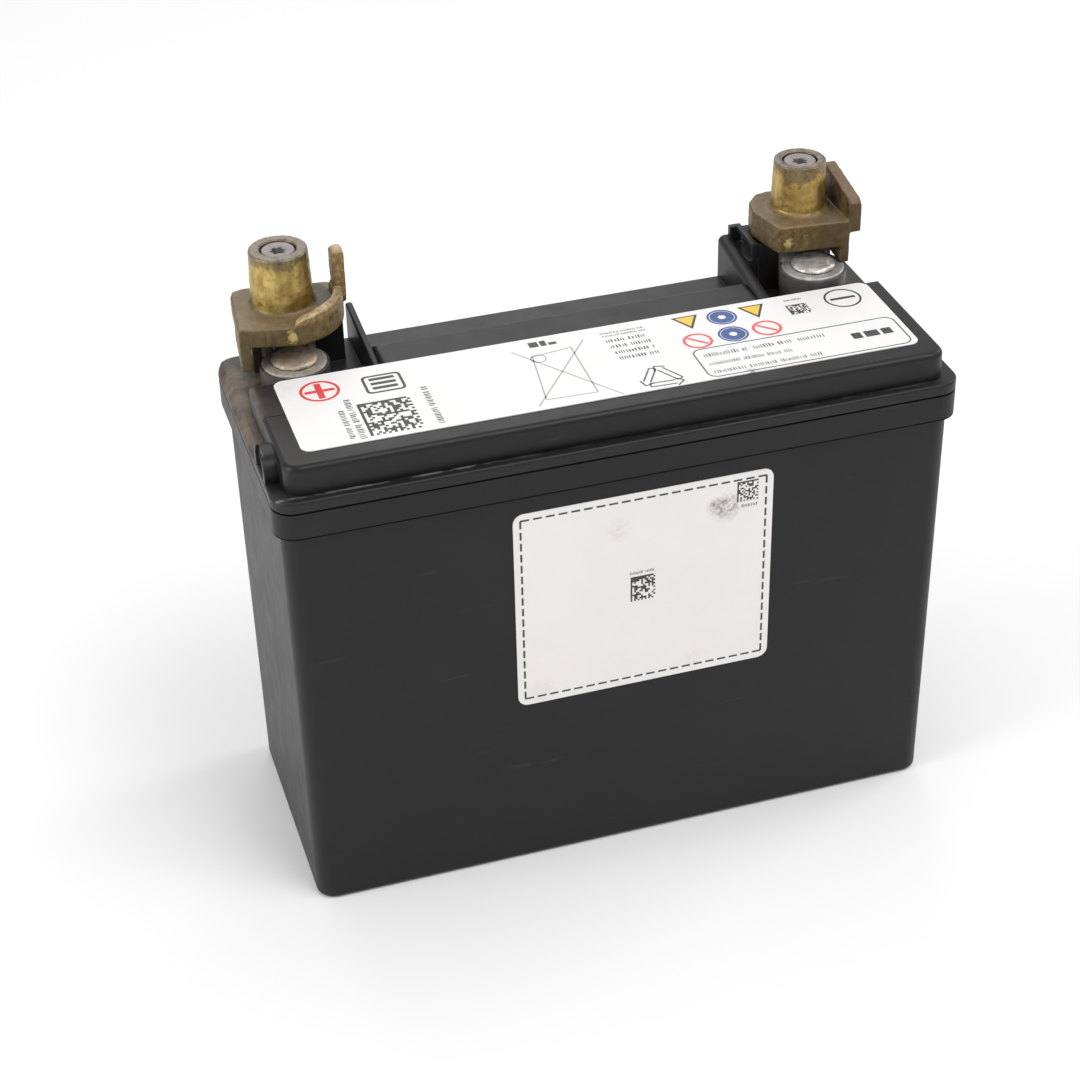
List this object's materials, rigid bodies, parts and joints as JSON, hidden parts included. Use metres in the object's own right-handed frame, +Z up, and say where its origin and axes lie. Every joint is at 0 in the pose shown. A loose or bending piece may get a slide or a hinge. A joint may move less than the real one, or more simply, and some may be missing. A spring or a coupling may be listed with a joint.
{
  "type": "motorcycle battery",
  "caption": "Rectangular sealed lead-acid battery with a stepped lid, corner terminals and brass adapters that carry tapered round posts.",
  "frame": {"origin": "centre of the case's bottom face", "axes": "+X along the length towards the negative terminal, +Y towards the side that carries the terminals, +Z up"},
  "size_m": [0.205, 0.0905, 0.1868],
  "materials": {
    "case_plastic": "satin moulded polypropylene, fine grain",
    "lid_plastic": "satin moulded polypropylene",
    "cover_plastic": "satin moulded polypropylene",
    "valve_rubber": "soft moulded rubber",
    "arrestor": "sintered porous disc",
    "top_label": "printed film, satin",
    "front_label": "printed film, satin",
    "lead": "cast lead alloy, dull",
    "plated_steel": "zinc plated",
    "screw_steel": "zinc plated, light wear",
    "brass_positive": "cast brass, tarnished, bright on the taper",
    "brass_negative": "cast brass, tarnished, bright on the taper",
    "positive_paste": "cured lead dioxide paste on lead grid",
    "negative_paste": "sponge lead paste on lead grid",
    "glass_mat": "absorbent glass mat"
  },
  "bodies": {
    "battery": {"cell_connector_1": "lead", "cell_connector_2": "lead", "cell_connector_3": "lead", "cell_connector_4": "lead", "cell_connector_5": "lead", "container": "case_plastic", "flame_arrestor": "arrestor", "front_label": "front_label", "lid": "lid_plastic", "negative_adapter": "brass_negative", "negative_nut": "plated_steel", "negative_plates_1": "negative_paste", "negative_plates_2": "negative_paste", "negative_plates_3": "negative_paste", "negative_plates_4": "negative_paste", "negative_plates_5": "negative_paste", "negative_plates_6": "negative_paste", "negative_pole": "lead", "negative_pole_seal": "valve_rubber", "negative_terminal": "lead", "positive_adapter": "brass_positive", "positive_nut": "plated_steel", "positive_plates_1": "positive_paste", "positive_plates_2": "positive_paste", "positive_plates_3": "positive_paste", "positive_plates_4": "positive_paste", "positive_plates_5": "positive_paste", "positive_plates_6": "positive_paste", "positive_pole": "lead", "positive_pole_seal": "valve_rubber", "positive_terminal": "lead", "separators_1": "glass_mat", "separators_2": "glass_mat", "separators_3": "glass_mat", "separators_4": "glass_mat", "separators_5": "glass_mat", "separators_6": "glass_mat", "top_label": "top_label", "vent_cover": "cover_plastic"},
    "positive_lock_washer": {"positive_lock_washer": "plated_steel"},
    "positive_adapter_screw": {"positive_adapter_screw": "screw_steel"},
    "negative_lock_washer": {"negative_lock_washer": "plated_steel"},
    "negative_adapter_screw": {"negative_adapter_screw": "screw_steel"},
    "relief_valve_1": {"relief_valve_1": "valve_rubber"},
    "relief_valve_2": {"relief_valve_2": "valve_rubber"},
    "relief_valve_3": {"relief_valve_3": "valve_rubber"},
    "relief_valve_4": {"relief_valve_4": "valve_rubber"},
    "relief_valve_5": {"relief_valve_5": "valve_rubber"},
    "relief_valve_6": {"relief_valve_6": "valve_rubber"}
  },
  "joints": [
    {"name": "positive_screw_turn", "type": "hinge", "parent": "battery", "child": "positive_lock_washer", "pos_m": [-0.082, 0.0325, 0.178], "axis": [0, 0, 1], "range_deg": [0, 2701]},
    {"name": "positive_screw_lift", "type": "slide", "parent": "positive_lock_washer", "child": "positive_adapter_screw", "axis": [0, 0, 1], "range_m": [0, 0.0075]},
    {"name": "negative_screw_turn", "type": "hinge", "parent": "battery", "child": "negative_lock_washer", "pos_m": [0.0813, 0.0336, 0.178], "axis": [0, 0, 1], "range_deg": [0, 2701]},
    {"name": "negative_screw_lift", "type": "slide", "parent": "negative_lock_washer", "child": "negative_adapter_screw", "axis": [0, 0, 1], "range_m": [0, 0.0075]},
    {"name": "relief_valve_1_lift", "type": "slide", "parent": "battery", "child": "relief_valve_1", "axis": [0, 0, 1], "range_m": [0, 0.0008], "stiffness_N_per_m": 400},
    {"name": "relief_valve_2_lift", "type": "slide", "parent": "battery", "child": "relief_valve_2", "axis": [0, 0, 1], "range_m": [0, 0.0008], "stiffness_N_per_m": 400},
    {"name": "relief_valve_3_lift", "type": "slide", "parent": "battery", "child": "relief_valve_3", "axis": [0, 0, 1], "range_m": [0, 0.0008], "stiffness_N_per_m": 400},
    {"name": "relief_valve_4_lift", "type": "slide", "parent": "battery", "child": "relief_valve_4", "axis": [0, 0, 1], "range_m": [0, 0.0008], "stiffness_N_per_m": 400},
    {"name": "relief_valve_5_lift", "type": "slide", "parent": "battery", "child": "relief_valve_5", "axis": [0, 0, 1], "range_m": [0, 0.0008], "stiffness_N_per_m": 400},
    {"name": "relief_valve_6_lift", "type": "slide", "parent": "battery", "child": "relief_valve_6", "axis": [0, 0, 1], "range_m": [0, 0.0008], "stiffness_N_per_m": 400}
  ],
  "couplings": [
    {"joint": "positive_screw_turn", "follows": "positive_screw_lift", "rad_per_m": 6283.2},
    {"joint": "negative_screw_turn", "follows": "negative_screw_lift", "rad_per_m": 6283.2}
  ]
}
